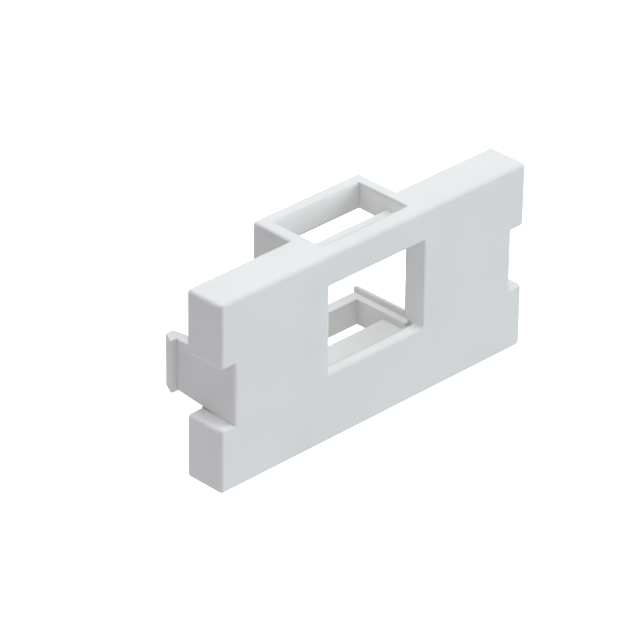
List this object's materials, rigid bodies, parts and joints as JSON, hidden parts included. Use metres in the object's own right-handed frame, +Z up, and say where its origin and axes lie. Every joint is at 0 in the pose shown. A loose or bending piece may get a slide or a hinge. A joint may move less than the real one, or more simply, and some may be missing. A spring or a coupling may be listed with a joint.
{
  "type": "keystone faceplate",
  "caption": "White moulded wall-outlet insert that holds a snap-in data jack in its square opening and clips into a frame by a barbed arm at each end.",
  "frame": {"origin": "middle of the footprint, under the lower long edge that the plate stands on", "axes": "+X along the plate, towards the right as seen from the front; the front face looks along -Y and the jack holder reaches towards +Y; +Z up, along the plate's short side"},
  "size_m": [0.05, 0.0118, 0.025],
  "materials": {
    "faceplate_plastic": "white moulded plastic with a satin sheen"
  },
  "bodies": {
    "root": {"keystone_faceplate": "faceplate_plastic"}
  },
  "joints": []
}
